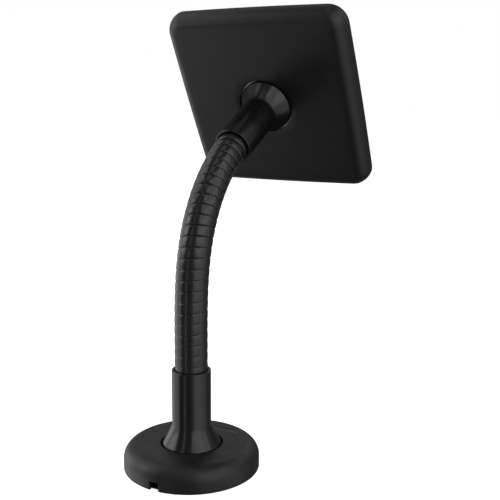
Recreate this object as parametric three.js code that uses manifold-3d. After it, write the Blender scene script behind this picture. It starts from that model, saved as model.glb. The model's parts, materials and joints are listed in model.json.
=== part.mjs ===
// A counter stand for a square touch display: a round weighted base, a ribbed gooseneck that
// stands in a flared sleeve at each end, and a flat square head tilted back towards the user.
// Millimetres, +Z up. The origin is on the base's axis in the plane that the base stands on.
// The screen faces -Y, and the cable leaves the base at the back, towards +Y.
import * as THREE from 'three';
import { mergeVertices } from 'three/addons/utils/BufferGeometryUtils.js';
import Module from 'manifold-3d';

const wasm = await Module();
wasm.setup();

// ---- Driving dimensions ----------------------------------------------------------------
const GAP = 0.3;                 // clearance between pieces that touch or are screwed together

const BASE_R = 50;
const BASE_H = 18.2;
const BASE_EDGE_R = 10;          // rounding between the cover's side and its top
const COVER_WALL = 2.4;
const COVER_LIFT_OFF = 0.4;      // the cover's rim hangs just clear of the counter
const COVER_HOLE_R = 22.9;
const PAD_R = 46.5;
const PAD_T = 1.6;
const PLATE_R = 46;
const PLATE_TOP = 13.4;
const NOTCH_W = 7;
const NOTCH_TOP = 6.7;
const CHANNEL_W = 9;
const CHANNEL_TOP = 7.3;
const COUNTER_SCREW_R = 31;      // radius of the circle of countersunk holes
const COUNTER_HOLE = { r: 2.75, sinkR: 6, sinkDeep: 3 };
const BADGE = { w: 45, d: 5.5, y: -30, deep: 0.6 };

const SLEEVE_R = 14.35;
const SLEEVE_WALL = 1.8;
const SLEEVE_L = 64.7;
const FLARE_R = 21.8;
const FLARE_H = 14.3;            // height of the flare above the surface that it enters
const SHOWN_LOWER = 55.7;        // length of the lower sleeve that stands above the cover
const SHOWN_UPPER = 62.5;        // length of the upper sleeve behind the head's back face

const NECK_R = 12.1;             // over the ribs
const RIB_DEPTH = 0.9;
const NECK_BORE_R = 7;
const NECK_L = 179.8;            // between the two sleeves' rims, along the centreline
const NECK_TURN = 61.2;          // degrees from upright to the head's axis
const RAMP_START = 0.05;         // the bend grows from here to RAMP_END, as fractions of the
const RAMP_END = 0.61;           // neck's length, and is even from there on
const LINKS = 11;
const RIBS_PER_LINK = 2;
const STUB = 2;                  // neck that shows between a rim and the first pivot
const LINK_BEVEL = 8;            // degrees that each link's end leans back, so that it can tilt

// Inside each sleeve, with heights measured from the sleeve's foot.
const SHANK_R = 9;
const SHANK_REACH = 7;           // the threaded shank below the foot
const FERRULE_BORE_R = 6.5;
const CUP = { r: 12.2, wall: 0.7, floor: 3.5, deep: 17 };
const NUT_H = 6;
const NUT_ACROSS = 32;           // across its corners
const CENTRING_RING = { from: 31, to: 37 };
const NECK_PLAIN_TO = 48;        // the neck has no ribs up to here

const HEAD_W = 154;
const HEAD_T = 16;
const HEAD_CORNER_R = 15;
const HEAD_BOW = 0.6;            // how far each side bows out in its middle
const HEAD_EDGE_IN = 10.3;       // the back edge's rounding, across the back
const HEAD_EDGE_DEEP = 13.8;     // and along the side
const SHELL_T = 2.2;
const HUB_W = 72;
const HUB_T = 2.5;
const HUB_NUT = { across: 26, h: 3 };
const HUB_SCREW_AT = 30;
const POST_AT = 64;
const BOSS_R = 3.4;
const SCREW_BORE_R = 1.8;
const SCREW_SHANK_R = 1.4;
const FRAME = { w: 144, corner: 10, window: 90, z: 9.5, t: 1.1 };
const PANEL = { w: 118, corner: 2, t: 2.2 };
const GASKET = { w: 140, inner: 126, corner: 8 };
const GLASS = { w: 148.6, corner: 12.3, t: 1.1, below: 0.1 };
const BEZEL_T = 2.2;
const BOARD = { w: 62, d: 22, t: 1.6, y: -56 };

// ---- Materials -------------------------------------------------------------------------
const black = (roughness, metalness = 0, shade = 0x161617) => () =>
  new THREE.MeshStandardMaterial({ color: shade, roughness, metalness });
const satinPaint = black(0.42, 0.1, 0x1a1a1b);
const mattePaint = black(0.6, 0.1);
const neckFinish = black(0.4, 0.15, 0x1c1c1d);
const matteShell = black(0.62);
const rubber = black(0.9, 0, 0x101010);
const foam = black(0.95, 0, 0x202022);
const nylon = black(0.7, 0, 0x2a2a2c);
const steel = black(0.35, 1, 0xa5a7aa);
const glass = black(0.06, 0, 0x050608);
const panelBack = black(0.3, 0.8, 0x8b8d90);
const boardGreen = black(0.5, 0, 0x1c4a30);

// ---- Solids ----------------------------------------------------------------------------
// Merges shared vertices and drops the flat triangles that a lathe leaves on its axis.
function closed(geometry) {
  const bare = geometry.clone();
  bare.deleteAttribute('normal');
  bare.deleteAttribute('uv');
  const merged = mergeVertices(bare, 1e-4);
  const kept = [];
  const index = merged.index.array;
  for (let i = 0; i < index.length; i += 3) {
    const [a, b, c] = [index[i], index[i + 1], index[i + 2]];
    if (a !== b && b !== c && c !== a) kept.push(a, b, c);
  }
  merged.setIndex(kept);
  return merged;
}

function toSolid(geometry) {
  const merged = closed(geometry);
  return new wasm.Manifold(new wasm.Mesh({
    numProp: 3,
    vertProperties: new Float32Array(merged.attributes.position.array),
    triVerts: new Uint32Array(merged.index.array),
  }));
}

function toGeometry(solid) {
  const mesh = solid.getMesh();
  const geometry = new THREE.BufferGeometry();
  geometry.setAttribute('position', new THREE.BufferAttribute(mesh.vertProperties, mesh.numProp));
  geometry.setIndex(new THREE.BufferAttribute(mesh.triVerts, 1));
  geometry.computeVertexNormals();
  return geometry;
}

function cut(geometry, ...tools) {
  return toGeometry(tools.reduce((solid, tool) => solid.subtract(toSolid(tool)), toSolid(geometry)));
}

function join(geometry, ...others) {
  return toGeometry(others.reduce((solid, other) => solid.add(toSolid(other)), toSolid(geometry)));
}

function trim(geometry, keep) {
  return toGeometry(toSolid(geometry).intersect(toSolid(keep)));
}

// Turns a closed outline of [radius, z] points, listed with the material on its left, round +Z.
function turned(outline, segments = 48) {
  const points = [...outline, outline[0]].map(([r, z]) => new THREE.Vector2(r, z));
  return closed(new THREE.LatheGeometry(points, segments).rotateX(Math.PI / 2));
}

// A disc or ring between two heights.
function ring(outer, inner, z0, z1, segments = 48) {
  return turned([[inner, z0], [outer, z0], [outer, z1], [inner, z1]], segments);
}

function rod(radius, z0, z1, segments = 24, topRadius = radius) {
  return new THREE.CylinderGeometry(topRadius, radius, z1 - z0, segments)
    .rotateX(Math.PI / 2).translate(0, 0, (z0 + z1) / 2);
}

function block(w, d, z0, z1) {
  return new THREE.BoxGeometry(w, d, z1 - z0).translate(0, 0, (z0 + z1) / 2);
}

// A square outline with round corners, whose sides bow out by `bow` in the middle.
function squareOutline(width, corner, bow = 0) {
  const h = width / 2;
  const s = h - corner;
  const shape = new THREE.Shape();
  shape.moveTo(-s, -h);
  for (let side = 0; side < 4; side += 1) {
    const angle = (side * Math.PI) / 2;
    const [c, n] = [Math.cos(angle), Math.sin(angle)];
    const at = (x, y) => [x * c - y * n, x * n + y * c];
    if (bow) shape.quadraticCurveTo(...at(0, -h - 2 * bow), ...at(s, -h));
    else shape.lineTo(...at(s, -h));
    shape.absarc(...at(s, -s), corner, angle - Math.PI / 2, angle, false);
  }
  return shape;
}

function slab(outline, z0, z1, curveSegments = 5) {
  return new THREE.ExtrudeGeometry(outline, { depth: z1 - z0, bevelEnabled: false, curveSegments })
    .translate(0, 0, z0);
}

// The space inside a square outline whose back edge is rounded, from z0 to beyond z1.
function softBacked(width, corner, edgeIn, edgeDeep, z0, z1) {
  const solid = new THREE.ExtrudeGeometry(squareOutline(width, corner, HEAD_BOW), {
    depth: z1 - z0, bevelThickness: edgeDeep, bevelSize: edgeIn, bevelOffset: -edgeIn,
    bevelSegments: 5, curveSegments: 4,
  }).translate(0, 0, z0 + edgeDeep);
  return trim(solid, block(2 * width, 2 * width, z0 - 1, z1));
}

function mesh(name, geometry, finish) {
  const made = new THREE.Mesh(geometry, finish());
  made.name = name;
  return made;
}

const group = new THREE.Group();

// ---- Base ------------------------------------------------------------------------------
const plateBottom = PAD_T + GAP;
const footZ = BASE_H + SHOWN_LOWER - SLEEVE_L;      // where the lower sleeve stands

function basePlate() {
  const disc = turned([
    [SHANK_R + GAP, plateBottom], [PLATE_R - 1, plateBottom], [PLATE_R, plateBottom + 1],
    [PLATE_R, PLATE_TOP - 5], [PLATE_R - 3.5, PLATE_TOP], [FLARE_R + GAP, PLATE_TOP],
    [FLARE_R + GAP, footZ - GAP], [SHANK_R + GAP, footZ - GAP],
  ]);
  const channel = block(CHANNEL_W, PLATE_R + 1, plateBottom - 1, CHANNEL_TOP)
    .translate(0, (PLATE_R + 1) / 2, 0);
  const holes = [45, 135, 225, 315].flatMap((degrees) => {
    const a = THREE.MathUtils.degToRad(degrees);
    const place = [COUNTER_SCREW_R * Math.cos(a), COUNTER_SCREW_R * Math.sin(a), 0];
    const { r, sinkR, sinkDeep } = COUNTER_HOLE;
    return [rod(r, 0, BASE_H, 16).translate(...place),
      rod(r - 0.25, PLATE_TOP - sinkDeep, PLATE_TOP + 0.5, 16, sinkR).translate(...place)];
  });
  return cut(disc, channel, ...holes);
}

function coverOutline() {
  const inner = BASE_R - COVER_WALL;
  const innerEdge = BASE_EDGE_R - COVER_WALL;
  const arc = (radius, centreR, centreZ, steps) => Array.from({ length: steps + 1 }, (_, i) => {
    const a = (i / steps) * (Math.PI / 2);
    return [centreR + radius * Math.cos(a), centreZ + radius * Math.sin(a)];
  });
  return [
    [BASE_R - 0.4, COVER_LIFT_OFF], [BASE_R, COVER_LIFT_OFF + 0.4],
    ...arc(BASE_EDGE_R, BASE_R - BASE_EDGE_R, BASE_H - BASE_EDGE_R, 6),
    [COVER_HOLE_R + 0.4, BASE_H], [COVER_HOLE_R, BASE_H - 0.4],
    [COVER_HOLE_R, BASE_H - COVER_WALL],
    ...arc(innerEdge, inner - innerEdge, BASE_H - BASE_EDGE_R, 3).reverse(),
    [inner, COVER_LIFT_OFF],
  ];
}

function baseCover() {
  const notch = block(NOTCH_W, 20, -1, NOTCH_TOP).translate(0, BASE_R, 0);
  const recess = slab(oblong(BADGE.w + 2 * GAP, BADGE.d + 2 * GAP), BASE_H - BADGE.deep, BASE_H + 1)
    .translate(0, BADGE.y, 0);
  return cut(turned(coverOutline()), notch, recess);
}

function oblong(w, d) {
  const shape = new THREE.Shape();
  const s = (w - d) / 2;
  shape.moveTo(-s, -d / 2);
  shape.lineTo(s, -d / 2);
  shape.absarc(s, 0, d / 2, -Math.PI / 2, Math.PI / 2, false);
  shape.lineTo(-s, d / 2);
  shape.absarc(-s, 0, d / 2, Math.PI / 2, 1.5 * Math.PI, false);
  return shape;
}

function baseBadge() {
  const bottom = BASE_H - BADGE.deep + GAP / 2;
  return slab(oblong(BADGE.w, BADGE.d), bottom, BASE_H - 0.1).translate(0, BADGE.y, 0);
}

group.add(
  mesh('base_pad', rod(PAD_R, 0, PAD_T, 48), rubber),
  mesh('base_plate', basePlate(), steel),
  mesh('base_cover', baseCover(), mattePaint),
  mesh('base_badge', baseBadge(), satinPaint),
);

// ---- Neck end: the pieces in and round each sleeve, standing on z = 0, neck towards +Z ---
const shoulderZ = NUT_H + GAP;
const cupZ = shoulderZ + CUP.floor;
const cupTop = cupZ + CUP.deep;
const pivotZ = SLEEVE_L + STUB;
const tanBevel = Math.tan(THREE.MathUtils.degToRad(LINK_BEVEL));
const bevelAt = (radius) => radius * tanBevel + GAP / 2;

function sleeve(sunk) {
  const flare = (offset) => Array.from({ length: 5 }, (_, i) => {
    const t = 1 - i / 4;                            // 1 at the surface, 0 where the flare starts
    return [SLEEVE_R - offset + (FLARE_R - SLEEVE_R) * t ** 1.2, sunk + FLARE_H * (1 - t)];
  });
  const bore = SLEEVE_R - SLEEVE_WALL;
  return turned([
    [FLARE_R - SLEEVE_WALL, 0], [FLARE_R, 0], ...flare(0),
    [SLEEVE_R, SLEEVE_L - 0.6], [SLEEVE_R - 0.6, SLEEVE_L],
    [bore, SLEEVE_L], ...flare(SLEEVE_WALL).reverse(),
  ], 36);
}

function ferrule() {
  const chamfer = 0.6;
  return turned([
    [FERRULE_BORE_R, -SHANK_REACH], [SHANK_R - chamfer, -SHANK_REACH],
    [SHANK_R, chamfer - SHANK_REACH], [SHANK_R, shoulderZ],
    [CUP.r, shoulderZ], [CUP.r, cupTop], [CUP.r - CUP.wall, cupTop],
    [CUP.r - CUP.wall, cupZ], [FERRULE_BORE_R, cupZ],
  ], 24);
}

function hexNut(z0, z1, acrossCorners) {
  return cut(rod(acrossCorners / 2, z0, z1, 6), rod(SHANK_R + GAP, z0 - 1, z1 + 1, 24));
}

function centringRing() {
  const { from, to } = CENTRING_RING;
  return ring(SLEEVE_R - SLEEVE_WALL - GAP, NECK_R - RIB_DEPTH + GAP, from, to, 24);
}

function neckEnd() {
  const plain = NECK_R - RIB_DEPTH;
  return turned([
    [NECK_BORE_R, cupZ + GAP], [plain, cupZ + GAP], [plain, NECK_PLAIN_TO], [NECK_R, NECK_PLAIN_TO + 2],
    [NECK_R, pivotZ - bevelAt(NECK_R)], [NECK_BORE_R, pivotZ - bevelAt(NECK_BORE_R)],
  ], 24);
}

function neckEndGroup(side, endName, sunk) {
  const end = new THREE.Group();
  end.add(
    mesh(`${side}_sleeve`, sleeve(sunk), satinPaint),
    mesh(`${side}_ferrule`, ferrule(), steel),
    mesh(`${side}_jam_nut`, hexNut(0, NUT_H, NUT_ACROSS), steel),
    mesh(`${side}_centring_ring`, centringRing(), nylon),
    mesh(endName, neckEnd(), neckFinish),
  );
  return end;
}

const lowerEnd = neckEndGroup('lower', 'neck_root', SLEEVE_L - SHOWN_LOWER);
lowerEnd.position.z = footZ;
group.add(lowerEnd);

// ---- Neck ------------------------------------------------------------------------------
// How much of the whole bend the neck has made at a fraction u of its length.
function bendSoFar(u) {
  const ramp = RAMP_END - RAMP_START;
  const w = THREE.MathUtils.clamp((u - RAMP_START) / ramp, 0, 1);
  const reached = ramp * (w ** 3 - w ** 4 / 2) + Math.max(u - RAMP_END, 0);
  return reached / (1 - (RAMP_START + RAMP_END) / 2);
}

const wholeTurn = THREE.MathUtils.degToRad(NECK_TURN);

// Points along the centreline, upright at first and then leaning towards -Y.
function neckPoint(length) {
  const steps = 400;
  const ds = length / steps;
  const point = new THREE.Vector3(0, 0, BASE_H + SHOWN_LOWER);
  for (let i = 0; i < steps; i += 1) {
    const tilt = wholeTurn * bendSoFar(((i + 0.5) * ds) / NECK_L);
    point.y -= Math.sin(tilt) * ds;
    point.z += Math.cos(tilt) * ds;
  }
  return point;
}

const linkPitch = (NECK_L - 2 * STUB) / LINKS;
const pivots = Array.from({ length: LINKS + 1 }, (_, i) => neckPoint(STUB + i * linkPitch));

function neckLink(length) {
  const rib = length / RIBS_PER_LINK;
  const radiusAt = (z) => NECK_R - RIB_DEPTH * Math.cos((Math.PI * z) / rib) ** 8;
  const edge = bevelAt(NECK_R);
  const heights = [edge, ...[0.4, 0.5, 0.6].map((f) => f * length), length - edge];
  return turned([
    [NECK_BORE_R, bevelAt(NECK_BORE_R)], ...heights.map((z) => [radiusAt(z), z]),
    [NECK_BORE_R, length - bevelAt(NECK_BORE_R)],
  ], 20);
}

for (let i = 0; i < LINKS; i += 1) {
  const along = pivots[i + 1].clone().sub(pivots[i]);
  const link = mesh(`neck_link_${String(i + 1).padStart(2, '0')}`, neckLink(along.length()), neckFinish);
  link.position.copy(pivots[i]);
  link.rotation.x = Math.atan2(-along.y, along.z);
  group.add(link);
}

// ---- Head: z = 0 is the middle of its back face, and +Z points to the screen side ---------
const head = new THREE.Group();
head.position.copy(neckPoint(NECK_L))
  .add(new THREE.Vector3(0, -Math.sin(wholeTurn), Math.cos(wholeTurn)).multiplyScalar(SHOWN_UPPER));
head.rotation.x = wholeTurn;
group.add(head);

const upperSunk = SLEEVE_L - SHOWN_UPPER;
const upperEnd = neckEndGroup('upper', 'neck_tip', upperSunk);
upperEnd.position.z = upperSunk;
upperEnd.rotation.x = Math.PI;
head.add(upperEnd);

const bezelZ = HEAD_T - BEZEL_T;
const hubZ = upperSunk + GAP;
const hubTop = hubZ + HUB_T;
const frameTop = FRAME.z + FRAME.t;
const panelTop = frameTop + GAP + PANEL.t;
const glassTop = HEAD_T - GLASS.below;
const glassZ = glassTop - GLASS.t;
const fourCorners = (d) => [[d, d], [-d, d], [-d, -d], [d, -d]];

function headShell() {
  const outer = softBacked(HEAD_W, HEAD_CORNER_R, HEAD_EDGE_IN, HEAD_EDGE_DEEP, 0, bezelZ - GAP);
  const inner = softBacked(HEAD_W - 2 * SHELL_T, HEAD_CORNER_R - SHELL_T, HEAD_EDGE_IN - 1.7,
    HEAD_EDGE_DEEP - SHELL_T, SHELL_T, HEAD_T);
  const bosses = fourCorners(HUB_SCREW_AT).map(([x, y]) =>
    rod(BOSS_R, SHELL_T - 0.5, hubTop - GAP, 16).translate(x, y, 0));
  const posts = fourCorners(POST_AT).map(([x, y]) =>
    rod(BOSS_R, SHELL_T - 0.5, FRAME.z - GAP, 16).translate(x, y, 0));
  const boardFeet = [-1, 1].map((side) =>
    block(4, BOARD.d, SHELL_T - 0.5, hubTop).translate(side * (BOARD.w / 2 - 4), BOARD.y, 0));
  const bores = [...fourCorners(HUB_SCREW_AT), ...fourCorners(POST_AT)].map(([x, y]) =>
    rod(SCREW_BORE_R, SHELL_T - 0.3, HEAD_T, 12).translate(x, y, 0));
  return cut(join(cut(outer, inner), ...bosses, ...posts, ...boardFeet), ...bores,
    rod(COVER_HOLE_R, -1, SHELL_T + 1, 40));
}

function controllerBoard() {
  return block(BOARD.w, BOARD.d, hubTop + GAP, hubTop + GAP + BOARD.t).translate(0, BOARD.y, 0);
}

// A pan-head screw whose head stands on `seat` and whose shank reaches `reach` below it.
function screw(x, y, seat, reach, headR) {
  return turned([
    [0, seat - reach], [SCREW_SHANK_R, seat - reach], [SCREW_SHANK_R, seat], [headR, seat],
    [headR, seat + 0.9], [headR - 0.8, seat + 1.5], [0, seat + 1.5],
  ], 12).translate(x, y, 0);
}

function hubPlate() {
  const holes = fourCorners(HUB_SCREW_AT).map(([x, y]) =>
    rod(BOSS_R + GAP, 0, HEAD_T, 16).translate(x, y, 0));
  return cut(slab(squareOutline(HUB_W, 8), hubZ, hubTop), rod(SHANK_R + GAP, 0, HEAD_T, 24), ...holes);
}

function panelFrame() {
  const holes = fourCorners(POST_AT).map(([x, y]) =>
    rod(SCREW_SHANK_R + GAP, 0, HEAD_T, 12).translate(x, y, 0));
  return cut(slab(squareOutline(FRAME.w, FRAME.corner), FRAME.z, frameTop),
    block(FRAME.window, FRAME.window, 0, HEAD_T), ...holes);
}

function squareRing(outer, inner, corner, z0, z1, bow = 0) {
  const hole = slab(squareOutline(inner, corner - (outer - inner) / 2, bow), z0 - 1, z1 + 1);
  return cut(slab(squareOutline(outer, corner, bow), z0, z1), hole);
}

head.add(
  mesh('head_shell', headShell(), matteShell),
  mesh('hub_plate', hubPlate(), steel),
  mesh('hub_nut', hexNut(hubTop + GAP, hubTop + GAP + HUB_NUT.h, HUB_NUT.across), steel),
  mesh('controller_board', controllerBoard(), boardGreen),
  mesh('panel_frame', panelFrame(), steel),
  mesh('display_panel', slab(squareOutline(PANEL.w, PANEL.corner), frameTop + GAP, panelTop), panelBack),
  mesh('glass_gasket',
    squareRing(GASKET.w, GASKET.inner, GASKET.corner, panelTop + GAP, glassZ - GAP), foam),
  mesh('cover_glass', slab(squareOutline(GLASS.w, GLASS.corner, HEAD_BOW), glassZ, glassTop), glass),
  mesh('front_bezel',
    squareRing(HEAD_W, GLASS.w + 2 * GAP, HEAD_CORNER_R, bezelZ, HEAD_T, HEAD_BOW), matteShell),
);
fourCorners(HUB_SCREW_AT).forEach(([x, y], i) => {
  head.add(mesh(`hub_screw_${i + 1}`, screw(x, y, hubTop + GAP, 3, 5), steel));
});
fourCorners(POST_AT).forEach(([x, y], i) => {
  head.add(mesh(`frame_screw_${i + 1}`, screw(x, y, frameTop + GAP, 6, 3), steel));
});

export default group;
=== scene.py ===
"""A gooseneck counter stand with a flat square display head, in black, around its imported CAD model.

The row frame is in metres: +Z up, the base's axis is the Z axis, and the screen faces -Y.
"""
import json
import math

import bmesh
import bpy
import numpy as np
from mathutils import Matrix, Vector


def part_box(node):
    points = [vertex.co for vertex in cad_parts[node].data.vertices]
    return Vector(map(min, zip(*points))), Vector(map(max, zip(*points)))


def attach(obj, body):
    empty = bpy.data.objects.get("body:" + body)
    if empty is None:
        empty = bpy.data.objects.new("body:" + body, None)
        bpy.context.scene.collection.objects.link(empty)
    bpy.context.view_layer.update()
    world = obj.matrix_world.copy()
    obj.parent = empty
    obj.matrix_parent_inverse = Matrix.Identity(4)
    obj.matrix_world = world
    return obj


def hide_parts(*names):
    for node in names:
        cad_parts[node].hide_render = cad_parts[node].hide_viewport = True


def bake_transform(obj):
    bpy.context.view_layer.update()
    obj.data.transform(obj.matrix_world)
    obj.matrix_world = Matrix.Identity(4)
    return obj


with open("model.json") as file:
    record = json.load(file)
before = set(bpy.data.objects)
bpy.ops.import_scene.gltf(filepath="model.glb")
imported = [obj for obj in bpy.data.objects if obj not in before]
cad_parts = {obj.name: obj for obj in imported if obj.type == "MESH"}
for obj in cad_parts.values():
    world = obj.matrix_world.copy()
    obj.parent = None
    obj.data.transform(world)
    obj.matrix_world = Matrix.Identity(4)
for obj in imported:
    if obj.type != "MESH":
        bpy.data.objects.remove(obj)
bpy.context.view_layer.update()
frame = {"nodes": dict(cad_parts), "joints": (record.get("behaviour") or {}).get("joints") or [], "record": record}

MM = 0.001

# ---- Sizes, in metres -------------------------------------------------------------------
COVER_LOW, COVER_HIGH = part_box("base_cover")
BASE_R = COVER_HIGH.x
BASE_TOP = COVER_HIGH.z
BASE_EDGE_R = 10 * MM
COVER_WALL = 2.4 * MM
COVER_FOOT_ROUND = 0.5 * MM
COVER_HOLE_ROUND = 0.45 * MM
COVER_SOFT = 0.25 * MM              # bevel along the cuts in the cover
SLIVER = 0.01 * MM                  # points closer than this are merged after a cut
HOLE_R = 22.9 * MM                  # in the cover and in the head's back, round each flare
NOTCH_W = 7 * MM
NOTCH_TOP = 6.7 * MM
BADGE_W = 45 * MM
BADGE_D = 5.5 * MM
BADGE_Y = -30 * MM
BADGE_DEEP = 0.6 * MM               # depth of the recess that the badge lies in
BADGE_ROOM = 0.25 * MM              # between the badge and the recess's wall, all round
BADGE_BEDDING = 0.15 * MM           # between the recess's floor and the badge
BADGE_BELOW = 0.08 * MM             # from the cover's top down to the badge's face
BADGE_SOFT = 0.25 * MM

PLATE_BORE_R = 9.3 * MM
PLATE_CHAMFER = 1 * MM              # under the plate's edge
PLATE_SLOPE_IN = 3.5 * MM           # the slope round its top, inwards
PLATE_SLOPE_DOWN = 5 * MM           # and down the side
COUNTER_SCREW_R = 31 * MM           # radius of the circle of countersunk holes
COUNTER_HOLE_R = 2.75 * MM
COUNTER_SINK_R = 6 * MM
COUNTER_SINK_DEEP = 2.75 * MM
CHANNEL_W = 9 * MM
CHANNEL_TOP = 7.3 * MM

SLEEVE_R = 14.35 * MM
SLEEVE_WALL = 1.8 * MM
SLEEVE_RIM_ROUND = 0.6 * MM
SLEEVE_BORE_ROUND = 0.35 * MM
FLARE_R = 21.8 * MM
FLARE_H = 14.3 * MM
FOOT_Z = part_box("lower_sleeve")[0].z
SLEEVE_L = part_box("lower_sleeve")[1].z - FOOT_Z

NECK_R = 12.1 * MM                  # over the ribs
NECK_BORE_R = 8 * MM
RIB_PITCH_LOW = 8.0 * MM            # at the neck's foot
RIB_PITCH_HIGH = 6.9 * MM           # and at its head
PITCH_RAMP_START = 0.2              # where the pitch starts to change, as a fraction of the neck
PITCH_RAMP_SPAN = 0.6
RIB_CROWN = 0.2 * MM                # fall of each rib's round back towards its edges
GROOVE_CLOSED = 0.2 * MM            # depth of the groove between turns where the neck is straight
GROOVE_OPEN = 0.45 * MM             # and how much deeper it opens on the outside of the bend
GROOVE_HALF_W = 0.36 * MM
BEND_RADIUS = 110 * MM              # where the neck is bent most
NECK_STUB = 2 * MM                  # neck between a sleeve's rim and the first pivot
NECK_POINTS_AROUND = 84
NECK_ROW_STEP = 0.3 * MM

HEAD_TILT = math.radians(61.2)      # from upright to the head's axis, about +X
HEAD_W = 154 * MM
HEAD_T = 16 * MM
HEAD_CORNER_R = 15 * MM
HEAD_BOW = 0.57 * MM
HEAD_EDGE_IN = 10.3 * MM
HEAD_EDGE_DEEP = 13.8 * MM
HEAD_SEAM_SOFT = 0.15 * MM          # chamfer at the seam between shell and bezel
INNER_EDGE_LESS = 1.7 * MM          # how much less far in the shell's inner edge curves
SHELL_T = 2.2 * MM
UPPER_SUNK = 2.2 * MM               # how deep the upper flare's foot stands in the head
BEZEL_Z = 13.8 * MM
BEZEL_SOFT = 0.7 * MM
GLASS_W = 148.6 * MM
GLASS_CORNER_R = 12.3 * MM
GLASS_SOFT = 0.3 * MM
GLASS_BELOW = 0.1 * MM              # from the glass's face up to the bezel's
GLASS_Z = 14.8 * MM
SCREEN_W = 118 * MM
PART_GAP = 0.3 * MM
CUT_PAST = 1 * MM                   # how far a cutter reaches past what it cuts

BENDS = [j for j in frame["joints"] if j["type"] == "hinge"]
PIVOTS = [Vector(j["pos_m"]) for j in BENDS]
HEAD_AXIS = Vector((0, -math.sin(HEAD_TILT), math.cos(HEAD_TILT)))
HEAD_ORIGIN = PIVOTS[-1] + HEAD_AXIS * (NECK_STUB + SLEEVE_L - UPPER_SUNK)
HEAD_FRAME = Matrix.Translation(HEAD_ORIGIN) @ Matrix.Rotation(HEAD_TILT, 4, "X")
UPPER_FRAME = HEAD_FRAME @ Matrix.Translation((0, 0, UPPER_SUNK)) @ Matrix.Rotation(math.pi, 4, "X")
LOWER_FRAME = Matrix.Translation((0, 0, FOOT_Z))

# ---- Materials --------------------------------------------------------------------------


class Shader:
    """A Principled material whose inputs are fed from noise in object space."""

    def __init__(self, name, roughness=0.5, metallic=0.0, specular=0.5):
        self.material = bpy.data.materials.new(name)
        self.material.use_nodes = True
        self.tree = self.material.node_tree
        self.bsdf = self.tree.nodes["Principled BSDF"]
        self.bsdf.inputs["Roughness"].default_value = roughness
        self.bsdf.inputs["Metallic"].default_value = metallic
        self.bsdf.inputs["Specular IOR Level"].default_value = specular
        self.coords = self.tree.nodes.new("ShaderNodeTexCoord").outputs["Object"]

    def link(self, out, into):
        self.tree.links.new(out, into)

    def noise(self, scale, detail=3.0, roughness=0.55, stretch=(1, 1, 1)):
        mapping = self.tree.nodes.new("ShaderNodeMapping")
        mapping.inputs["Scale"].default_value = stretch
        texture = self.tree.nodes.new("ShaderNodeTexNoise")
        texture.inputs["Scale"].default_value = scale
        texture.inputs["Detail"].default_value = detail
        texture.inputs["Roughness"].default_value = roughness
        self.link(self.coords, mapping.inputs["Vector"])
        self.link(mapping.outputs["Vector"], texture.inputs["Vector"])
        return texture.outputs["Fac"]

    def spread(self, value, low, high, start=0.35, end=0.65):
        node = self.tree.nodes.new("ShaderNodeMapRange")
        node.interpolation_type = "SMOOTHSTEP"
        for key, number in (("From Min", start), ("From Max", end), ("To Min", low), ("To Max", high)):
            node.inputs[key].default_value = number
        self.link(value, node.inputs["Value"])
        return node.outputs["Result"]

    def mix(self, factor, first, second):
        node = self.tree.nodes.new("ShaderNodeMix")
        node.data_type = "RGBA"
        for socket, colour in ((node.inputs[6], first), (node.inputs[7], second)):
            if isinstance(colour, bpy.types.NodeSocket):
                self.link(colour, socket)
            else:
                socket.default_value = (*colour, 1)
        self.link(factor, node.inputs[0])
        return node.outputs[2]

    def math(self, operation, first, second=None):
        node = self.tree.nodes.new("ShaderNodeMath")
        node.operation = operation
        for socket, value in zip(node.inputs, (first, second)):
            if isinstance(value, bpy.types.NodeSocket):
                self.link(value, socket)
            elif value is not None:
                socket.default_value = value
        return node.outputs[0]

    def edges(self, scale=260):
        """1 where an outer edge is rubbed, broken up by noise, and 0 elsewhere."""
        geometry = self.tree.nodes.new("ShaderNodeNewGeometry")
        sharp = self.spread(geometry.outputs["Pointiness"], 0, 1, 0.53, 0.6)
        return self.math("MULTIPLY", sharp, self.spread(self.noise(scale, 6), 0.15, 1, 0.4, 0.65))

    def colour(self, value):
        self.link(value, self.bsdf.inputs["Base Color"])

    def rough(self, value):
        self.link(value, self.bsdf.inputs["Roughness"])

    def bump(self, height, strength, distance):
        node = self.tree.nodes.new("ShaderNodeBump")
        node.inputs["Strength"].default_value = strength
        node.inputs["Distance"].default_value = distance
        self.link(height, node.inputs["Height"])
        self.link(node.outputs["Normal"], self.bsdf.inputs["Normal"])


def grey(level, warm=0.0):
    return (level * (1 + warm), level, level * (1 - warm))


def satin_paint(name, level, roughness, peel, specular):
    """Sprayed satin black: a faint orange peel, a patchy sheen, and rubbed edges."""
    s = Shader(name, roughness, specular=specular)
    worn = s.edges()
    patchy = s.mix(s.spread(s.noise(35, 5), 0, 1), grey(level * 0.85), grey(level * 1.25))
    s.colour(s.mix(worn, patchy, grey(level * 6)))
    sheen = s.spread(s.noise(60, 6), roughness - 0.03, roughness + 0.05)
    s.rough(s.math("ADD", sheen, s.math("MULTIPLY", worn, 0.12)))
    s.bump(s.noise(1100, 2), peel, 0.05 * MM)
    return s.material


def moulded_shell(name, level, roughness):
    """Black plastic with the fine spark-eroded grain of its mould, polished where it is handled."""
    s = Shader(name, roughness)
    worn = s.edges(180)
    patchy = s.mix(s.spread(s.noise(28, 5), 0, 1), grey(level * 0.85), grey(level * 1.2))
    s.colour(s.mix(worn, patchy, grey(level * 6)))
    sheen = s.spread(s.noise(90, 6), roughness - 0.02, roughness + 0.03)
    s.rough(s.math("SUBTRACT", sheen, s.math("MULTIPLY", worn, 0.12)))
    s.bump(s.noise(4200, 2, 0.7), 0.25, 0.04 * MM)
    return s.material


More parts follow.
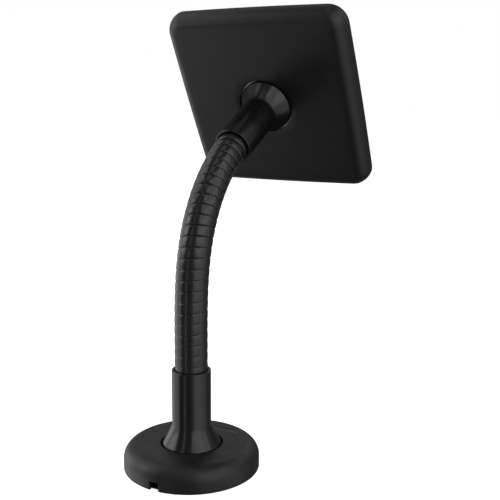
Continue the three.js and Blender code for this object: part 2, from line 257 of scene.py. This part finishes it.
def neck_coating(name, level, roughness):
    """The wire's black coating: slightly streaked along the winding, duller where it is rubbed."""
    s = Shader(name, roughness, specular=0.6)
    s.colour(s.mix(s.spread(s.noise(180, 5), 0, 1), grey(level * 0.8), grey(level * 1.3)))
    s.rough(s.spread(s.noise(240, 5, stretch=(1, 1, 3)), roughness - 0.04, roughness + 0.06))
    s.bump(s.noise(1500, 3), 0.15, 0.05 * MM)
    return s.material


def turned_steel(name, level, roughness):
    s = Shader(name, roughness, metallic=1.0)
    s.colour(s.mix(s.spread(s.noise(140, 5), 0, 1), grey(level * 0.85), grey(level * 1.08)))
    s.rough(s.spread(s.noise(900, 4, stretch=(1, 1, 0.15)), roughness - 0.08, roughness + 0.12))
    s.bump(s.noise(2600, 3, stretch=(1, 1, 0.1)), 0.12, 0.03 * MM)
    return s.material


def soft_rubber(name, level):
    s = Shader(name, 0.85, specular=0.35)
    s.colour(s.mix(s.spread(s.noise(500, 5), 0, 1), grey(level * 0.7), grey(level * 1.4)))
    s.rough(s.spread(s.noise(700, 5), 0.78, 0.95))
    s.bump(s.noise(2200, 4), 0.5, 0.1 * MM)
    return s.material


def plain_plastic(name, colour, roughness):
    s = Shader(name, roughness)
    lighter = tuple(min(1.0, c * 1.25) for c in colour)
    s.colour(s.mix(s.spread(s.noise(300, 5), 0, 1), colour, lighter))
    s.rough(s.spread(s.noise(400, 4), roughness - 0.05, roughness + 0.1))
    s.bump(s.noise(1800, 3), 0.2, 0.04 * MM)
    return s.material


def screen_glass(name):
    """Front glass with an opaque black border printed behind it; the lit area is a touch lighter."""
    s = Shader(name, 0.06)
    split = s.tree.nodes.new("ShaderNodeSeparateXYZ")
    s.link(s.coords, split.inputs[0])
    along = Vector((0, math.cos(HEAD_TILT), math.sin(HEAD_TILT)))
    up = s.math("ADD", s.math("MULTIPLY", split.outputs["Y"], along.y),
                s.math("MULTIPLY", split.outputs["Z"], along.z))
    across = s.math("ABSOLUTE", split.outputs["X"])
    height = s.math("ABSOLUTE", s.math("SUBTRACT", up, HEAD_ORIGIN.dot(along)))
    inside = s.math("LESS_THAN", s.math("MAXIMUM", across, height), SCREEN_W / 2)
    ink = s.mix(s.spread(s.noise(20, 4), 0, 1), grey(0.004), grey(0.006))
    s.colour(s.mix(inside, ink, (0.010, 0.011, 0.014)))
    s.rough(s.spread(s.noise(45, 6), 0.05, 0.13))
    return s.material


def circuit_board(name):
    s = Shader(name, 0.4)
    copper = s.spread(s.noise(420, 2, stretch=(1, 3, 3)), 0, 1, 0.5, 0.53)
    s.colour(s.mix(copper, (0.008, 0.07, 0.03), (0.02, 0.14, 0.06)))
    s.rough(s.spread(s.noise(200, 4), 0.3, 0.5))
    s.bump(copper, 0.4, 0.05 * MM)
    return s.material


sleeve_paint = satin_paint("sleeve_satin_black", 0.004, 0.2, 0.04, 0.55)
cover_paint = satin_paint("cover_satin_black", 0.005, 0.42, 0.12, 0.5)
neck_finish = neck_coating("neck_coated_wire", 0.009, 0.22)
shell_plastic = moulded_shell("shell_grained_plastic", 0.003, 0.4)
badge_plastic = plain_plastic("badge_smooth_plastic", grey(0.012), 0.3)
steel = turned_steel("blackened_steel", 0.03, 0.42)
alloy = turned_steel("sheet_alloy", 0.55, 0.42)
rubber = soft_rubber("pad_rubber", 0.012)
nylon = plain_plastic("ring_nylon", grey(0.03), 0.6)
foam = soft_rubber("gasket_foam", 0.02)
panel_backing = plain_plastic("panel_backing", grey(0.03), 0.35)
board_green = circuit_board("board_laminate")
front_glass = screen_glass("front_glass")

# ---- Mesh making ------------------------------------------------------------------------


def finish_mesh(name, verts, faces, material, place=Matrix.Identity(4), sharp=35):
    mesh = bpy.data.meshes.new(name)
    mesh.from_pydata([place @ Vector(v) for v in verts], [], faces)
    mesh.update()
    mesh.shade_smooth()
    mesh.set_sharp_from_angle(angle=math.radians(sharp))
    mesh.materials.append(material)
    piece = bpy.data.objects.new(name, mesh)
    bpy.context.scene.collection.objects.link(piece)
    return piece


def bake_modifiers(piece, sharp=35):
    """Turns the piece's modifiers into its mesh."""
    bpy.context.view_layer.update()
    graph = bpy.context.evaluated_depsgraph_get()
    mesh = bpy.data.meshes.new_from_object(piece.evaluated_get(graph))
    piece.modifiers.clear()
    piece.data = mesh
    mesh.shade_smooth()
    mesh.set_sharp_from_angle(angle=math.radians(sharp))
    return piece


def skin(name, loops, material, place=Matrix.Identity(4), ends="ring"):
    """Joins loops of points, each with the same count, into one closed surface.

    ends is "ring" where the last loop meets the first, or "cap" where each end is closed flat.
    """
    count = len(loops[0])
    verts = [p for loop in loops for p in loop]
    faces = []
    last = len(loops) if ends == "ring" else len(loops) - 1
    for i in range(last):
        a, b = i * count, ((i + 1) % len(loops)) * count
        for k in range(count):
            n = (k + 1) % count
            faces.append((a + k, a + n, b + n, b + k))
    if ends == "cap":
        faces.append(tuple(range(count))[::-1])
        faces.append(tuple(range(len(verts) - count, len(verts))))
    return finish_mesh(name, verts, faces, material, place)


def revolve(name, outline, material, place=Matrix.Identity(4), segments=128):
    """A solid of revolution from a closed outline of (radius, z), material on its left."""
    angles = [2 * math.pi * k / segments for k in range(segments)]
    loops = [[(r * math.cos(a), r * math.sin(a), z) for a in angles] for r, z in outline]
    return skin(name, loops, material, place)


def cut_box(piece, low, high):
    """Cuts a box out of the piece."""
    corners = [(x, y, z) for x in (low[0], high[0])
               for y in (low[1], high[1]) for z in (low[2], high[2])]
    faces = [(0, 1, 3, 2), (4, 6, 7, 5), (0, 4, 5, 1), (2, 3, 7, 6), (0, 2, 6, 4), (1, 5, 7, 3)]
    cut_with(piece, finish_mesh("cutter", corners, faces, piece.data.materials[0]))


def cut_with(piece, cutter):
    modifier = piece.modifiers.new("cut", "BOOLEAN")
    modifier.operation = "DIFFERENCE"
    modifier.solver = "EXACT"
    modifier.object = cutter
    bake_modifiers(piece)
    bpy.data.objects.remove(cutter)


def soften_edges(piece, width, angle):
    modifier = piece.modifiers.new("soften", "BEVEL")
    modifier.width = width
    modifier.segments = 2
    modifier.limit_method = "ANGLE"
    modifier.angle_limit = math.radians(angle)
    bake_modifiers(piece)


def weld(piece, distance):
    """Merges points closer than this, which clears the slivers a cut leaves along an edge."""
    mesh = bmesh.new()
    mesh.from_mesh(piece.data)
    bmesh.ops.remove_doubles(mesh, verts=mesh.verts, dist=distance)
    bmesh.ops.dissolve_degenerate(mesh, edges=mesh.edges, dist=distance)
    mesh.to_mesh(piece.data)
    mesh.free()


def arc(radius, centre_a, centre_b, start, end, steps):
    angles = [math.radians(start + (end - start) * k / steps) for k in range(steps + 1)]
    return [(centre_a + radius * math.cos(a), centre_b + radius * math.sin(a)) for a in angles]


def stand_for(piece, body, slot, *nodes):
    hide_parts(*nodes)
    if body:
        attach(piece, body)
    return piece


# ---- Base -------------------------------------------------------------------------------


def oblong_loop(w, d, y, z, per_end=14):
    """Points of an oblong with round ends, at one height."""
    s = (w - d) / 2
    ends = arc(d / 2, s, y, -90, 90, per_end) + arc(d / 2, -s, y, 90, 270, per_end)
    return [(a, b, z) for a, b in ends]


def base_cover():
    inner = BASE_R - COVER_WALL
    inner_edge = BASE_EDGE_R - COVER_WALL
    low = COVER_LOW.z
    foot, lip = COVER_FOOT_ROUND, COVER_HOLE_ROUND
    outline = arc(foot, BASE_R - foot, low + foot, -90, 0, 4)
    outline += arc(BASE_EDGE_R, BASE_R - BASE_EDGE_R, BASE_TOP - BASE_EDGE_R, 0, 90, 24)
    outline += arc(lip, HOLE_R + lip, BASE_TOP - lip, 90, 180, 4)
    outline += [(HOLE_R, BASE_TOP - COVER_WALL)]
    outline += arc(inner_edge, inner - inner_edge, BASE_TOP - BASE_EDGE_R, 90, 0, 10)
    outline += [(inner, low)]
    piece = revolve("base_cover_shell", outline, cover_paint, segments=192)
    half = NOTCH_W / 2
    cut_box(piece, (-half, BASE_R - 10 * MM, -5 * MM), (half, BASE_R + 10 * MM, NOTCH_TOP))
    recess = [oblong_loop(BADGE_W + 2 * BADGE_ROOM, BADGE_D + 2 * BADGE_ROOM, BADGE_Y, z)
              for z in (BASE_TOP - BADGE_DEEP, BASE_TOP + BADGE_DEEP)]
    cut_with(piece, skin("recess", recess, cover_paint, ends="cap"))
    weld(piece, SLIVER)
    soften_edges(piece, COVER_SOFT, 50)
    weld(piece, SLIVER)
    return stand_for(piece, "cover", "cover_paint", "base_cover")


def slices(name, x, y, steps, material, segments=64):
    """A solid of round slices (radius, z), lowest first, about an upright line through x, y."""
    angles = [2 * math.pi * k / segments for k in range(segments)]
    loops = [[(x + r * math.cos(a), y + r * math.sin(a), z) for a in angles] for r, z in steps]
    return skin(name, loops, material, ends="cap")


def base_pad():
    low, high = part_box("base_pad")
    soft = 0.3 * MM
    steps = [(high.x - soft, low.z), (high.x, low.z + soft),
             (high.x, high.z - soft), (high.x - soft, high.z)]
    piece = slices("base_pad_disc", 0, 0, steps, rubber, 160)
    return stand_for(piece, "base", "rubber", "base_pad")


def base_plate():
    """The heavy disc under the cover, with its countersunk holes and the cable's channel."""
    low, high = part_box("base_plate")
    edge, seat = high.x, FOOT_Z - PART_GAP
    outline = [(PLATE_BORE_R, low.z), (edge - PLATE_CHAMFER, low.z), (edge, low.z + PLATE_CHAMFER)]
    outline += [(edge, high.z - PLATE_SLOPE_DOWN), (edge - PLATE_SLOPE_IN, high.z)]
    outline += [(FLARE_R + PART_GAP, high.z)]
    outline += [(FLARE_R + PART_GAP, seat), (PLATE_BORE_R, seat)]
    piece = revolve("base_plate_disc", outline, steel, segments=160)
    for degrees in (45, 135, 225, 315):
        x = COUNTER_SCREW_R * math.cos(math.radians(degrees))
        y = COUNTER_SCREW_R * math.sin(math.radians(degrees))
        steps = [(COUNTER_HOLE_R, low.z - CUT_PAST), (COUNTER_HOLE_R, high.z - COUNTER_SINK_DEEP),
                 (COUNTER_SINK_R, high.z + CUT_PAST / 2)]
        cut_with(piece, slices("hole", x, y, steps, steel))
    half = CHANNEL_W / 2
    cut_box(piece, (-half, 0, low.z - CUT_PAST), (half, edge + CUT_PAST, CHANNEL_TOP))
    return stand_for(piece, "base", "steel", "base_plate")


def base_badge():
    """A blank oblong badge, let into the cover with its face just below the cover's top."""
    foot = BASE_TOP - BADGE_DEEP + BADGE_BEDDING
    face = BASE_TOP - BADGE_BELOW
    edge = BADGE_SOFT
    loops = [oblong_loop(BADGE_W, BADGE_D, BADGE_Y, z) for z in (foot, face - edge)]
    for k in range(1, 5):
        a = math.radians(90 * k / 4)
        shrink = 2 * edge * (1 - math.cos(a))
        height = face - edge + edge * math.sin(a)
        loops.append(oblong_loop(BADGE_W - shrink, BADGE_D - shrink, BADGE_Y, height))
    piece = skin("base_badge_plate", loops, badge_plastic, ends="cap")
    return stand_for(piece, "cover", "badge", "base_badge")


# ---- Sleeves ----------------------------------------------------------------------------


def sleeve(name, place, sunk, body, node):
    """A straight sleeve that opens into a cone-shaped flare, standing on z = 0."""
    def flare(offset, steps=16):
        points = []
        for k in range(steps + 1):
            t = 1 - k / steps
            radius = SLEEVE_R - offset + (FLARE_R - SLEEVE_R) * t ** 1.2
            points.append((radius, sunk + FLARE_H * (1 - t)))
        return points
    bore = SLEEVE_R - SLEEVE_WALL
    outline = [(FLARE_R - SLEEVE_WALL, 0), (FLARE_R, 0)] + flare(0)
    rim, lip = SLEEVE_RIM_ROUND, SLEEVE_BORE_ROUND
    outline += arc(rim, SLEEVE_R - rim, SLEEVE_L - rim, 0, 90, 5)
    outline += arc(lip, bore + lip, SLEEVE_L - lip, 90, 180, 4)
    outline += flare(SLEEVE_WALL)[::-1]
    piece = revolve(name, outline, sleeve_paint, place, segments=128)
    return stand_for(piece, body, "sleeve_paint", node)


# ---- Neck -------------------------------------------------------------------------------


KNOT_OUT = 20 * MM                  # a knot this far outside the end pivots keeps the ends straight
SPAN_STEPS = 48


def centreline():
    """Closely spaced points along the neck's centreline, through every pivot."""
    start = Vector((0, 0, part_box("neck_root")[0].z))
    end = PIVOTS[-1] + HEAD_AXIS * (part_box("neck_root")[1].z - start.z)
    below, beyond = PIVOTS[0] - Vector((0, 0, KNOT_OUT)), PIVOTS[-1] + HEAD_AXIS * KNOT_OUT
    knots = [start, below] + PIVOTS + [beyond, end]
    tangents = []
    for i, knot in enumerate(knots):
        if i <= 2:
            tangents.append(Vector((0, 0, 1)))
        elif i >= len(knots) - 3:
            tangents.append(HEAD_AXIS.copy())
        else:
            tangents.append((knots[i + 1] - knots[i - 1]).normalized())
    points = []
    for i in range(len(knots) - 1):
        a, b = knots[i], knots[i + 1]
        span = (b - a).length
        for k in range(SPAN_STEPS + (i == len(knots) - 2)):
            t = k / SPAN_STEPS
            h = (2 * t**3 - 3 * t**2 + 1, t**3 - 2 * t**2 + t, -2 * t**3 + 3 * t**2, t**3 - t**2)
            leaving, arriving = tangents[i] * span, tangents[i + 1] * span
            points.append(a * h[0] + leaving * h[1] + b * h[2] + arriving * h[3])
    return points


def rib_radius(phase, opened):
    """The neck's radius where phase 0 is the middle of a groove and 0.5 a rib's crown."""
    off = np.abs(phase - 0.5) * 2
    to_groove = (1 - off) * RIB_PITCH_LOW / 2
    groove = (GROOVE_CLOSED + GROOVE_OPEN * opened) * np.exp(-(to_groove / GROOVE_HALF_W) ** 2)
    return NECK_R - RIB_CROWN * off**2 - groove


def neck_pieces():
    """The ribbed neck, cut in the middle of each link, each piece spanning one hinge."""
    line = np.array(centreline(), float)
    steps = np.linalg.norm(np.diff(line, axis=0), axis=1)
    lengths = np.concatenate([[0], np.cumsum(steps)])
    tangent = np.gradient(line, axis=0)
    tangent /= np.linalg.norm(tangent, axis=1)[:, None]
    ramp = np.clip((lengths / lengths[-1] - PITCH_RAMP_START) / PITCH_RAMP_SPAN, 0, 1)
    pitch = RIB_PITCH_LOW + (RIB_PITCH_HIGH - RIB_PITCH_LOW) * ramp
    turns = np.concatenate([[0], np.cumsum(steps / (pitch[1:] + pitch[:-1]) * 2)])
    bend = np.clip(-np.gradient(tangent[:, 1], lengths) * BEND_RADIUS, 0, 1)
    at_pivot = [lengths[np.argmin(np.linalg.norm(line - np.array(p), axis=1))] for p in PIVOTS]
    cuts = [0.0] + [(a + b) / 2 for a, b in zip(at_pivot, at_pivot[1:])] + [lengths[-1]]
    theta = 2 * np.pi * np.arange(NECK_POINTS_AROUND) / NECK_POINTS_AROUND
    made = []
    for i, joint in enumerate(BENDS):
        first, last = cuts[i], cuts[i + 1]
        rows = round((last - first) / NECK_ROW_STEP)
        s = np.linspace(first, last, rows + 1)
        loops = []

        def ring_at(length, radius):
            centre = np.array([np.interp(length, lengths, line[:, k]) for k in range(3)])
            ahead = np.array([np.interp(length, lengths, tangent[:, k]) for k in range(3)])
            ahead /= np.linalg.norm(ahead)
            side = np.array([1.0, 0, 0])
            front = np.cross(ahead, side)
            across = np.outer(radius * np.cos(theta), side)
            return centre + across + np.outer(radius * np.sin(theta), front)

        for length in s:
            phase = np.mod(np.interp(length, lengths, turns) - theta / (2 * np.pi), 1.0)
            opened = np.interp(length, lengths, bend) * (1 + np.sin(theta)) / 2
            loops.append(ring_at(length, rib_radius(phase, opened)))
        bore = np.full(NECK_POINTS_AROUND, NECK_BORE_R)
        for length in s[::-4]:
            loops.append(ring_at(length, bore))
        piece = skin(f"neck_ribs_{i + 1:02d}", loops, neck_finish)
        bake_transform(piece)
        made.append(piece)
    for i, piece in enumerate(made[:-1]):
        nodes = [f"neck_link_{i + 1:02d}"] + (["neck_root"] if i == 0 else [])
        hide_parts(*nodes)
    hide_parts("neck_tip")
    return made


# ---- Head -------------------------------------------------------------------------------

CORNER_STEPS = 12
SIDE_STEPS = 16


def square_loop(width, corner, z, bow=HEAD_BOW):
    """Points round a square with round corners whose sides bow out, at one height."""
    h, s = width / 2, width / 2 - corner
    points = []
    for side in range(4):
        turn = Matrix.Rotation(math.pi / 2 * side, 2)
        for k in range(SIDE_STEPS):
            t = -1 + 2 * k / SIDE_STEPS
            points.append(turn @ Vector((s * t, -h - bow * (1 - t * t))))
        for k in range(CORNER_STEPS):
            a = math.radians(-90 + 90 * k / CORNER_STEPS)
            points.append(turn @ Vector((s + corner * math.cos(a), -s + corner * math.sin(a))))
    return [(p.x, p.y, z) for p in points]


def round_loop(radius, z, like):
    """A circle whose points lie at the same bearings as those of another loop."""
    return [(radius * x / math.hypot(x, y), radius * y / math.hypot(x, y), z) for x, y, _ in like]


def between(first, second, t):
    return [tuple(a + (b - a) * t for a, b in zip(p, q)) for p, q in zip(first, second)]


def edge_loops(width, corner, edge_in, edge_deep, z0, z1, steps):
    """The rounded back edge, from the back at z0 to the side, and straight on to z1."""
    loops = []
    for k in range(steps + 1):
        a = math.radians(90 * k / steps)
        inset = edge_in * (1 - math.sin(a))
        loops.append(square_loop(width - 2 * inset, corner - inset, z0 + edge_deep * (1 - math.cos(a))))
    if z1 > z0 + edge_deep:
        loops.append(square_loop(width, corner, z1))
    return loops


def head_shell():
    front = BEZEL_Z - PART_GAP
    outer = edge_loops(HEAD_W, HEAD_CORNER_R, HEAD_EDGE_IN, HEAD_EDGE_DEEP, 0, 0, 22)[:-1]
    soft = HEAD_SEAM_SOFT
    outer = [loop for loop in outer if loop[0][2] < front - 2 * soft]
    rim_out = square_loop(HEAD_W, HEAD_CORNER_R, front - soft)
    rim = square_loop(HEAD_W - 2 * soft, HEAD_CORNER_R - soft, front)
    inner_w, inner_corner = HEAD_W - 2 * SHELL_T, HEAD_CORNER_R - SHELL_T
    inner_in, inner_deep = HEAD_EDGE_IN - INNER_EDGE_LESS, HEAD_EDGE_DEEP - SHELL_T
    inner = edge_loops(inner_w, inner_corner, inner_in, inner_deep, SHELL_T, 0, 10)
    inner = [loop for loop in inner if loop[0][2] < front]
    inner.append(square_loop(inner_w, inner_corner, front))
    back, floor = outer[0], inner[0]
    hole = [round_loop(HOLE_R, z, back) for z in (SHELL_T, 0.4 * MM)]
    hole += [round_loop(HOLE_R + r * MM, z * MM, back) for r, z in ((0.05, 0.2), (0.2, 0.05), (0.4, 0))]
    across_back = [between(hole[-1], back, t / 10) for t in range(1, 10)]
    across_floor = [between(floor, hole[0], t / 6) for t in range(1, 6)]
    loops = hole + across_back + outer + [rim_out, rim] + inner[::-1] + across_floor
    piece = skin("head_back_shell", loops, shell_plastic, HEAD_FRAME)
    return stand_for(piece, "head", "shell", "head_shell")


def front_bezel():
    inner_w, inner_corner = GLASS_W + 2 * PART_GAP, GLASS_CORNER_R + PART_GAP
    soft = BEZEL_SOFT
    loops = [square_loop(HEAD_W - 0.2 * MM, HEAD_CORNER_R - 0.1 * MM, BEZEL_Z),
             square_loop(HEAD_W, HEAD_CORNER_R, BEZEL_Z + HEAD_SEAM_SOFT)]
    for k in range(6):
        a = math.radians(90 * k / 5)
        inset = soft * (1 - math.cos(a))
        height = HEAD_T - soft + soft * math.sin(a)
        loops.append(square_loop(HEAD_W - 2 * inset, HEAD_CORNER_R - inset, height))
    loops += [square_loop(inner_w + 0.3 * MM, inner_corner + 0.15 * MM, HEAD_T),
              square_loop(inner_w, inner_corner, HEAD_T - 0.15 * MM),
              square_loop(inner_w, inner_corner, BEZEL_Z)]
    piece = skin("front_bezel_frame", loops, shell_plastic, HEAD_FRAME)
    return stand_for(piece, "head", "shell", "front_bezel")


def cover_glass():
    face, soft, corner = HEAD_T - GLASS_BELOW, GLASS_SOFT, GLASS_CORNER_R
    loops = [square_loop(GLASS_W, corner, GLASS_Z)]
    for k in range(5):
        a = math.radians(90 * k / 4)
        inset = soft * (1 - math.cos(a))
        loops.append(square_loop(GLASS_W - 2 * inset, corner - inset, face - soft + soft * math.sin(a)))
    piece = skin("cover_glass_pane", loops, front_glass, HEAD_FRAME, ends="cap")
    return stand_for(piece, "head", "glass", "cover_glass")


base_pad()
base_plate()
base_cover()
base_badge()
sleeve("lower_sleeve_tube", LOWER_FRAME, BASE_TOP - FOOT_Z, "base", "lower_sleeve")
sleeve("upper_sleeve_tube", UPPER_FRAME, UPPER_SUNK, "head", "upper_sleeve")
neck_pieces()
head_shell()
front_bezel()
cover_glass()

# ---- Finishes of the CAD nodes that stay ---------------------------------------------------

FINISHES = {
    "rubber": rubber, "steel": steel, "alloy": alloy, "nylon": nylon, "board": board_green,
    "panel": panel_backing, "foam": foam, "cover_paint": cover_paint, "badge": badge_plastic,
    "sleeve_paint": sleeve_paint, "neck_finish": neck_finish, "shell": shell_plastic,
    "glass": front_glass,
}
SLOT_OF = {s["node"]: s["material_slot"] for s in frame["record"]["subparts"]}
for node_name, node in frame["nodes"].items():
    node.data.materials.clear()
    node.data.materials.append(FINISHES[SLOT_OF[node_name]])
    node.data.shade_smooth()
    node.data.set_sharp_from_angle(angle=math.radians(35))

# ---- Stage ------------------------------------------------------------------------------

CAMERA_OUT = 569.7 * MM
CAMERA_BEARING = math.radians(122.05)
CAMERA_UP = 265.7 * MM
CAMERA_HEADING = math.radians(-62.19)
CAMERA_PITCH = math.radians(-10.32)
CAMERA_ROLL = math.radians(0.39)
CAMERA_LENS = 58.66
LIGHT_AIM = Vector((0, -50 * MM, 170 * MM))
LIGHT_DISTANCE = 1.5
ROOM_LIGHT = 0.12                   # of the room between the soft lights
FLOOR_GLOW = 0.97
FLOOR_REACH = 12
DIM = 0.2                           # strengths of the soft lights, where 1 is paper white
LOW = 0.6
EVEN = 0.87
FULL = 1.05
BRIGHT = 1.3
WINDOW = 2.2


def photo_camera():
    data = bpy.data.cameras.new("photo_camera")
    data.lens = CAMERA_LENS
    data.sensor_width = 36
    data.dof.use_dof = False
    camera = bpy.data.objects.new("photo_camera", data)
    bpy.context.scene.collection.objects.link(camera)
    ahead = Vector((math.cos(CAMERA_HEADING) * math.cos(CAMERA_PITCH),
                    math.sin(CAMERA_HEADING) * math.cos(CAMERA_PITCH), math.sin(CAMERA_PITCH)))
    right = ahead.cross(Vector((0, 0, 1))).normalized()
    up = right.cross(ahead)
    c, s = math.cos(CAMERA_ROLL), math.sin(CAMERA_ROLL)
    right, up = right * c + up * s, up * c - right * s
    camera.matrix_world = Matrix((
        (right.x, up.x, -ahead.x, CAMERA_OUT * math.cos(CAMERA_BEARING)),
        (right.y, up.y, -ahead.y, CAMERA_OUT * math.sin(CAMERA_BEARING)),
        (right.z, up.z, -ahead.z, CAMERA_UP), (0, 0, 0, 1)))
    bpy.context.scene.camera = camera


def soft_panel(name, bearings, elevations, radiance):
    """A rectangular soft light that fills one patch of the room, in degrees as seen from the object.

    A bearing is counted from +X towards +Y. radiance is the light's brightness; 1 is paper white.
    """
    bearing = math.radians(sum(bearings) / 2)
    elevation = math.radians(sum(elevations) / 2)
    data = bpy.data.lights.new(name, "AREA")
    data.shape = "RECTANGLE"
    wide, tall = math.radians(bearings[1] - bearings[0]), math.radians(elevations[1] - elevations[0])
    data.size = 2 * LIGHT_DISTANCE * math.cos(elevation) * math.tan(wide / 2)
    data.size_y = 2 * LIGHT_DISTANCE * math.tan(tall / 2)
    data.energy = radiance * math.pi * data.size * data.size_y
    light = bpy.data.objects.new(name, data)
    bpy.context.scene.collection.objects.link(light)
    outward = Vector((math.cos(bearing) * math.cos(elevation), math.sin(bearing) * math.cos(elevation),
                      math.sin(elevation)))
    light.location = LIGHT_AIM + outward * LIGHT_DISTANCE
    light.rotation_mode = "QUATERNION"
    light.rotation_quaternion = outward.to_track_quat("Z", "Y")
    light.visible_camera = False


def pale_floor():
    far = FLOOR_REACH
    corners = [(-far, -far, 0), (far, -far, 0), (far, far, 0), (-far, far, 0)]
    floor = finish_mesh("pale_floor", corners, [(0, 1, 2, 3)], floor_paint())
    floor.visible_glossy = False
    floor.visible_diffuse = False
    floor.visible_shadow = False


def floor_paint():
    s = Shader("floor_white", 0.9, specular=0.1)
    s.colour(s.mix(s.spread(s.noise(3, 3), 0, 1), grey(0.86), grey(0.88)))
    s.bsdf.inputs["Emission Color"].default_value = (1, 1, 1, 1)
    s.bsdf.inputs["Emission Strength"].default_value = FLOOR_GLOW
    return s.material


def studio_world():
    world = bpy.data.worlds.new("studio")
    world.use_nodes = True
    tree = world.node_tree
    shade = tree.nodes.new("ShaderNodeMixShader")
    white = tree.nodes.new("ShaderNodeBackground")
    white.inputs["Color"].default_value = (1, 1, 1, 1)
    tree.nodes["Background"].inputs["Color"].default_value = (1, 1, 1, 1)
    tree.nodes["Background"].inputs["Strength"].default_value = ROOM_LIGHT
    tree.links.new(tree.nodes.new("ShaderNodeLightPath").outputs["Is Camera Ray"], shade.inputs[0])
    tree.links.new(tree.nodes["Background"].outputs[0], shade.inputs[1])
    tree.links.new(white.outputs[0], shade.inputs[2])
    tree.links.new(shade.outputs[0], tree.nodes["World Output"].inputs["Surface"])
    bpy.context.scene.world = world


photo_camera()
studio_world()
pale_floor()
soft_panel("left_wall_low", (-20, 49), (-47, -18), EVEN)
soft_panel("left_wall_middle", (15, 49), (-18, 8), EVEN)
soft_panel("left_wall_high", (15, 49), (8, 32), WINDOW)
soft_panel("left_wall_top", (15, 49), (32, 60), EVEN)
soft_panel("left_wall_back", (-20, 15), (-18, 8), BRIGHT)
soft_panel("left_wall_back_high", (-20, 15), (8, 60), EVEN)
soft_panel("left_wall_far", (-60, -20), (-50, 60), DIM)
soft_panel("strip", (81, 87), (-50, 50), EVEN)
soft_panel("right_box_near", (121, 134), (-40, 8), DIM)
soft_panel("right_box_near_high", (121, 134), (8, 60), FULL)
soft_panel("right_box_low", (134, 180), (-40, -18), LOW)
soft_panel("right_box_middle", (134, 180), (-18, 8), EVEN)
soft_panel("right_box_high", (134, 180), (8, 32), BRIGHT)
soft_panel("right_box_top", (134, 180), (32, 60), EVEN)
soft_panel("right_box_side", (180, 204), (-40, 8), LOW)
soft_panel("right_box_side_high", (180, 204), (8, 60), FULL)
soft_panel("right_box_edge", (204, 226), (-50, 60), DIM)
soft_panel("front_box", (226, 300), (18, 60), LOW)
soft_panel("overhead", (50, 130), (62, 98), LOW)
bpy.context.scene.view_settings.view_transform = "Standard"
bpy.context.scene.cycles.use_denoising = True
